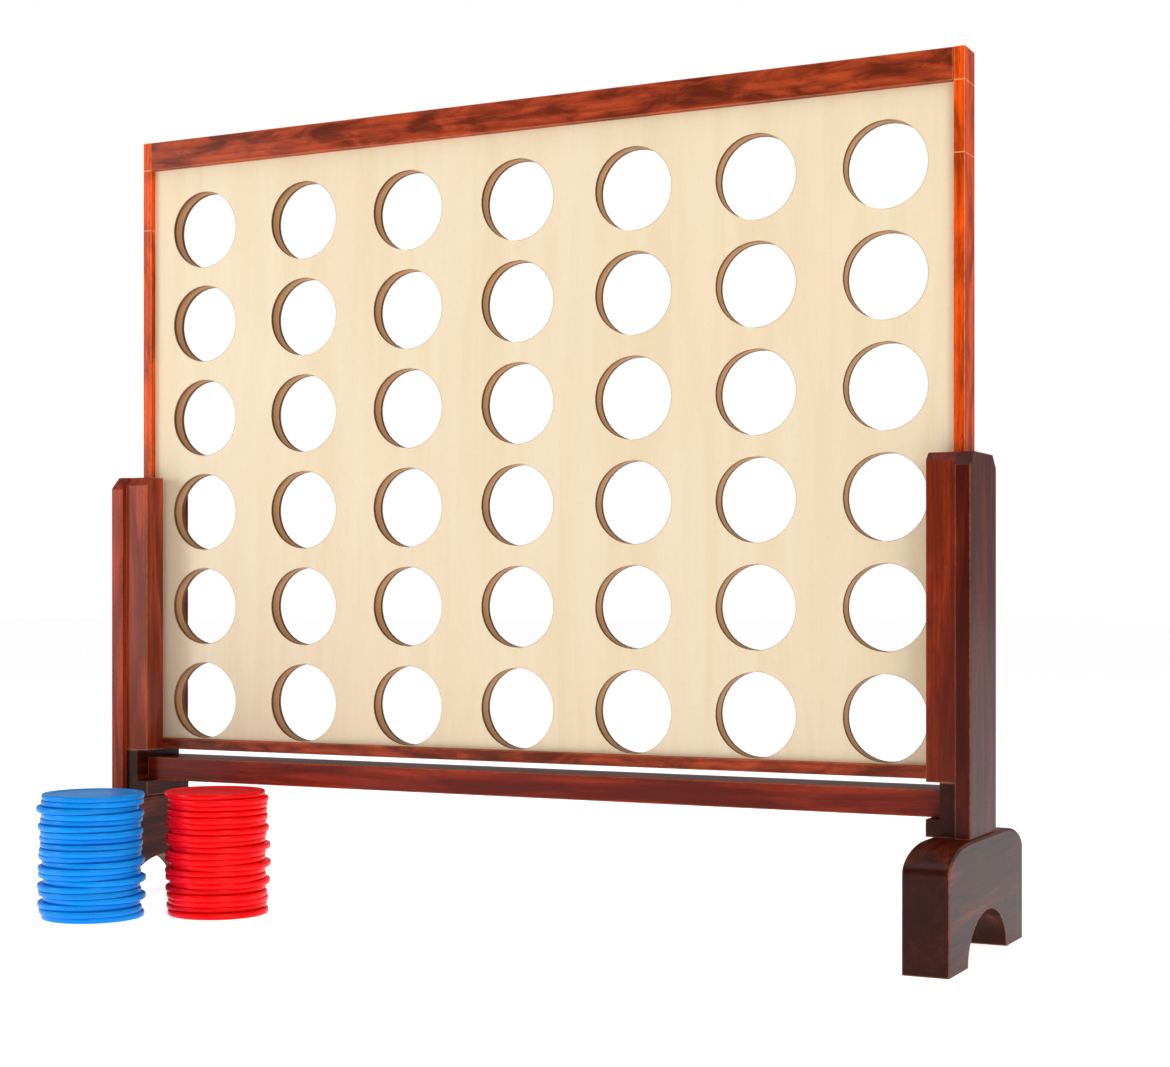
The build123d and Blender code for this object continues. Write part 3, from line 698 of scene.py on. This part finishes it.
# ------------------------------------------------------------------ operators
class GARDEN_OT_stage(bpy.types.Operator):
    """Pale floor, softboxes, surroundings and camera"""

    bl_idname = "garden_game.stage"
    bl_label = "Stage"

    def execute(self, context):
        settings = context.scene.game_stage
        self.floor(settings)
        self.surroundings(context)
        for side, (place, size) in SOFTBOXES.items():
            self.softbox(context, side + "_softbox", place, size, getattr(settings, side + "_power"))
        camera = bpy.data.objects.new("camera", bpy.data.cameras.new("camera"))
        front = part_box("front_panel")[0].y
        camera.location = (settings.camera_x, front - settings.camera_forward, settings.camera_height)
        camera.rotation_euler = (math.pi / 2, 0, settings.camera_turn)
        camera.data.sensor_width = SENSOR_WIDTH
        camera.data.lens = settings.camera_lens
        camera.data.shift_y = settings.frame_rise
        context.scene.collection.objects.link(camera)
        context.scene.camera = camera
        context.scene.view_settings.view_transform = "Standard"
        return {"FINISHED"}

    def floor(self, settings):
        """A wide flat sheet just below the object's lowest point."""
        corners = [(x * FLOOR_REACH, y * FLOOR_REACH, 0) for x, y in ((-1, -1), (1, -1), (1, 1), (-1, 1))]
        mesh = bpy.data.meshes.new("floor")
        mesh.from_pydata(corners, [], [(0, 1, 2, 3)])
        floor = bpy.data.objects.new("floor", mesh)
        floor.location.z = cad_box[0].z - FLOOR_DROP
        bpy.context.scene.collection.objects.link(floor)
        finish = Finish("pale_floor")
        speckle = finish.noise(finish.place, scale=220, detail=2.0)
        finish.set(
            Base_Color=finish.shade(settings.floor_colour[:], 0.985 + speckle * 0.03),
            Roughness=0.9,
            Emission_Color=(1, 1, 1),
            Emission_Strength=settings.floor_glow,
        )
        finish.dress(floor)

    def surroundings(self, context):
        """White to the eye; as light, bright behind the game and dim in front of it."""
        world = bpy.data.worlds.new("surroundings")
        world.use_nodes = True
        tree = world.node_tree
        tree.nodes.clear()
        direction = tree.nodes.new("ShaderNodeTexCoord")
        parts = tree.nodes.new("ShaderNodeSeparateXYZ")
        rise = tree.nodes.new("ShaderNodeMapRange")
        rise.interpolation_type = "SMOOTHSTEP"
        rise.inputs["From Min"].default_value = SURROUNDINGS_START
        rise.inputs["From Max"].default_value = SURROUNDINGS_END
        rise.inputs["To Min"].default_value = FRONT_LIGHT
        rise.inputs["To Max"].default_value = REAR_LIGHT
        eye = tree.nodes.new("ShaderNodeLightPath")
        choice = tree.nodes.new("ShaderNodeMix")
        choice.inputs["B"].default_value = 1.0
        light = tree.nodes.new("ShaderNodeBackground")
        light.inputs["Color"].default_value = (1, 1, 1, 1)
        output = tree.nodes.new("ShaderNodeOutputWorld")
        tree.links.new(direction.outputs["Generated"], parts.inputs[0])
        tree.links.new(parts.outputs["Y"], rise.inputs["Value"])
        tree.links.new(eye.outputs["Is Camera Ray"], choice.inputs["Factor"])
        tree.links.new(rise.outputs["Result"], choice.inputs["A"])
        tree.links.new(choice.outputs["Result"], light.inputs["Strength"])
        tree.links.new(light.outputs[0], output.inputs[0])
        context.scene.world = world

    def softbox(self, context, name, place, size, power):
        """A rectangular light that looks at the middle of the whole set."""
        lamp = bpy.data.lights.new(name, "AREA")
        lamp.shape = "RECTANGLE"
        lamp.size, lamp.size_y = size
        lamp.energy = power
        box = bpy.data.objects.new(name, lamp)
        box.location = place
        middle = (cad_box[0] + cad_box[1]) / 2
        box.rotation_euler = (middle - Vector(place)).to_track_quat("-Z", "Y").to_euler()
        box.visible_camera = False
        context.scene.collection.objects.link(box)


class GARDEN_OT_board_frame(bpy.types.Operator):
    """Stained stiles and rails round the board"""

    bl_idname = "garden_game.board_frame"
    bl_label = "Board frame"

    def execute(self, context):
        settings = context.scene.game_timber
        soaked = settings.soaked_stain[:]
        rail_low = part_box("front_top_rail")[0].z
        # The stiles' edges are lightened further: bared timber and a painted highlight on their rounded
        # edges.
        looks = {"joints": (rail_low, rail_low - STILE_JOINT_SPACING), "mottle": 0.4, "wear_and_highlight": 0.4}
        for seed, node in enumerate(("left_stile", "right_stile")):
            stained_pine(node, 2, 3 + seed, settings, settings.frame_stain[:], soaked, **looks)
        rails = ("front_top_rail", "rear_top_rail", "front_bottom_rail", "rear_bottom_rail")
        for seed, node in enumerate(rails):
            stained_pine(node, 0, 11 + seed, settings, settings.rail_stain[:], soaked, mottle=0.7)
        return {"FINISHED"}


class GARDEN_OT_legs(bpy.types.Operator):
    """Stained feet, posts, guides and blocks, and the shelf between the legs"""

    bl_idname = "garden_game.legs"
    bl_label = "Legs and shelf"

    def execute(self, context):
        settings = context.scene.game_timber
        soaked = settings.soaked_stain[:]
        foot_stain = settings.foot_stain[:]
        for seed, side in enumerate(("left_", "right_")):
            post_stain = getattr(settings, side + "post_stain")[:]
            guide_stain = getattr(settings, side + "guide_stain")[:]
            # The post's stain: lightened on the left as painted light, darkened on the right as painted
            # shade.
            stained_pine(side + "post", 2, 21 + seed, settings, post_stain, soaked)
            # The front guide's stain: lightened on the left as painted light, darkened on the right as
            # painted shade.
            stained_pine(side + "front_guide", 2, 24 + seed, settings, guide_stain, soaked)
            # Both rear guides take the right post's darkened stain, and with it its painted shade.
            stained_pine(side + "rear_guide", 2, 28 + seed, settings, settings.right_post_stain[:], soaked)
            stained_pine(side + "block", 1, 31 + seed, settings, foot_stain, soaked)
            stained_pine(side + "foot", 1, 35 + seed, settings, foot_stain, soaked, foot_distances)
        stained_pine("shelf", 0, 41, settings, settings.shelf_stain[:], soaked)
        return {"FINISHED"}


class GARDEN_OT_panels(bpy.types.Operator):
    """Lacquered plywood panels with darkened hole walls"""

    bl_idname = "garden_game.panels"
    bl_label = "Panels"

    def execute(self, context):
        for seed, (node, inward) in enumerate((("front_panel", 1), ("rear_panel", -1))):
            lacquered_plywood(node, seed, inward, context.scene.game_panels)
        return {"FINISHED"}


class GARDEN_OT_dividers(bpy.types.Operator):
    """Bare pine between the columns of discs"""

    bl_idname = "garden_game.dividers"
    bl_label = "Dividers"

    def execute(self, context):
        names = ["divider_%d" % (number + 1) for number in range(COLUMNS - 1)]
        names += ["left_edge_strip", "right_edge_strip"]
        for seed, node in enumerate(names):
            plain_pine(node, 2, 51 + seed, context.scene.game_timber)
        return {"FINISHED"}


class GARDEN_OT_fixings(bpy.types.Operator):
    """Dowels, screws, bolts, washers and inserts"""

    bl_idname = "garden_game.fixings"
    bl_label = "Fixings"

    def execute(self, context):
        for node in ("left_leg_dowels", "right_leg_dowels", "stile_dowels"):
            beech_dowel(node)
        steel = ["shelf_screws", "panel_screws"]
        for side in ("left_", "right_"):
            steel += [side + part for part in ("foot_bolts", "foot_washers", "foot_inserts")]
        for node in steel:
            zinc_steel(node)
        return {"FINISHED"}


class GARDEN_OT_discs(bpy.types.Operator):
    """Moulded discs of both colours, in the places of their CAD nodes"""

    bl_idname = "garden_game.discs"
    bl_label = "Discs"

    def execute(self, context):
        settings = context.scene.game_discs
        finishes = {
            "blue": moulded_plastic("blue", settings.blue[:], settings.blue_shine[:]),
            "red": moulded_plastic("red", settings.red[:], settings.red_shine[:]),
        }
        for colour, finish in finishes.items():
            first_loose = "%s_disc_%02d" % (colour, LOWER_DISCS + 1)
            low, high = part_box(first_loose)
            radius = (high.x - low.x) / 2
            thickness = high.z - low.z
            numbers = np.arange(DISCS_PER_COLOUR)
            offsets = wobble(numbers, WOBBLE_PHASE[colour])
            middle = np.array([(low.x + high.x) / 2, (low.y + high.y) / 2]) - offsets[LOWER_DISCS]
            heights = (low.z + high.z) / 2 + (numbers - LOWER_DISCS) * DISC_PITCH
            centres = np.column_stack([offsets + middle, heights])
            groups = {colour + "_lower_discs": centres[:LOWER_DISCS]}
            for number in range(LOWER_DISCS, DISCS_PER_COLOUR):
                groups["%s_disc_%02d" % (colour, number + 1)] = centres[number : number + 1]
            for node, places in groups.items():
                piece = disc_piece("moulded_" + node, node, node, places, radius, thickness, settings)
                finish.dress(piece)
        return {"FINISHED"}


class GARDEN_PT_four_in_a_row(bpy.types.Panel):
    """Buttons that finish the game, piece by piece"""

    bl_idname = "GARDEN_PT_four_in_a_row"
    bl_label = "Four in a Row"
    bl_space_type = "VIEW_3D"
    bl_region_type = "UI"
    bl_category = "Garden Games"

    def draw(self, context):
        for operator in OPERATORS:
            self.layout.operator(operator.bl_idname)
        for group in SETTINGS:
            box = self.layout.box()
            box.label(text=SETTINGS[group].__doc__)
            for name in SETTINGS[group].__annotations__:
                box.prop(getattr(context.scene, group), name)


SETTINGS = {
    "game_stage": StageSettings,
    "game_timber": TimberSettings,
    "game_panels": PanelSettings,
    "game_discs": DiscSettings,
}
OPERATORS = (
    GARDEN_OT_stage,
    GARDEN_OT_board_frame,
    GARDEN_OT_legs,
    GARDEN_OT_panels,
    GARDEN_OT_dividers,
    GARDEN_OT_fixings,
    GARDEN_OT_discs,
)


def register():
    for settings in SETTINGS.values():
        bpy.utils.register_class(settings)
    for operator in OPERATORS:
        bpy.utils.register_class(operator)
    bpy.utils.register_class(GARDEN_PT_four_in_a_row)
    for name, settings in SETTINGS.items():
        setattr(bpy.types.Scene, name, bpy.props.PointerProperty(type=settings))


def unregister():
    for name in SETTINGS:
        delattr(bpy.types.Scene, name)
    bpy.utils.unregister_class(GARDEN_PT_four_in_a_row)
    for operator in reversed(OPERATORS):
        bpy.utils.unregister_class(operator)
    for settings in SETTINGS.values():
        bpy.utils.unregister_class(settings)


def main():
    register()
    bpy.ops.garden_game.stage()
    bpy.ops.garden_game.board_frame()
    bpy.ops.garden_game.legs()
    bpy.ops.garden_game.panels()
    bpy.ops.garden_game.dividers()
    bpy.ops.garden_game.fixings()
    bpy.ops.garden_game.discs()


if __name__ == "__main__":
    main()
